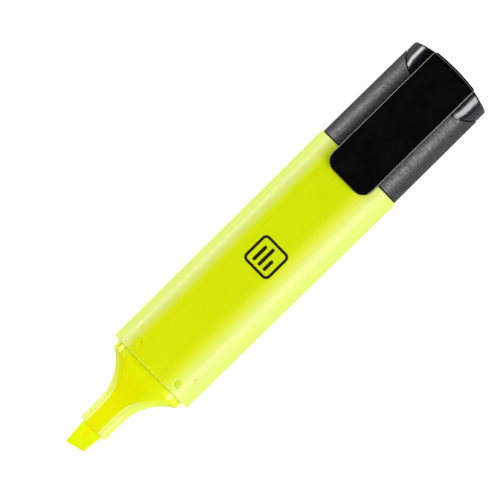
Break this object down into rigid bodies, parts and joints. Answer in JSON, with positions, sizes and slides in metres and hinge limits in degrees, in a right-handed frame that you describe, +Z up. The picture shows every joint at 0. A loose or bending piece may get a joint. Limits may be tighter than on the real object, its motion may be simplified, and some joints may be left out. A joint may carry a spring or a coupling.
{
  "type": "highlighter pen",
  "caption": "Flat-barrelled highlighter with a chisel felt nib, a flared neck and a clipped cap posted on its back end.",
  "frame": {"origin": "middle of the bounding box, at the bottom, where the barrel's flat face rests", "axes": "+X along the pen from the nib to the cap, +Y across the broad face, +Z up through the clip"},
  "size_m": [0.1282, 0.0248, 0.018],
  "materials": {
    "barrel_plastic": "satin translucent fluorescent yellow",
    "front_plastic": "glossy translucent fluorescent yellow",
    "nib_felt": "felt soaked in yellow ink",
    "reservoir_fibre": "fibre soaked in yellow ink",
    "reservoir_wrap": "thin clear film",
    "cap_gloss": "polished black",
    "cap_matte": "fine matte texture, charcoal",
    "seal_plastic": "natural moulded",
    "clip_gloss": "polished black"
  },
  "bodies": {
    "pen": {"barrel": "barrel_plastic", "front_section": "front_plastic", "nib": "nib_felt", "reservoir_core": "reservoir_fibre", "reservoir_film": "reservoir_wrap", "rear_plug": "front_plastic"},
    "cap": {"cap_shell": "cap_gloss", "cap_sleeve": "cap_matte", "cap_inner_seal": "seal_plastic"},
    "clip": {"clip": "clip_gloss"}
  },
  "joints": [
    {"name": "cap_pull", "type": "slide", "parent": "pen", "child": "cap", "axis": [1, 0, 0], "range_m": [0, 0.03]},
    {"name": "clip_flex", "type": "hinge", "parent": "cap", "child": "clip", "pos_m": [0.0625, 0, 0.0172], "axis": [0, 1, 0], "range_deg": [0, 5], "stiffness_Nm_per_rad": 1}
  ]
}
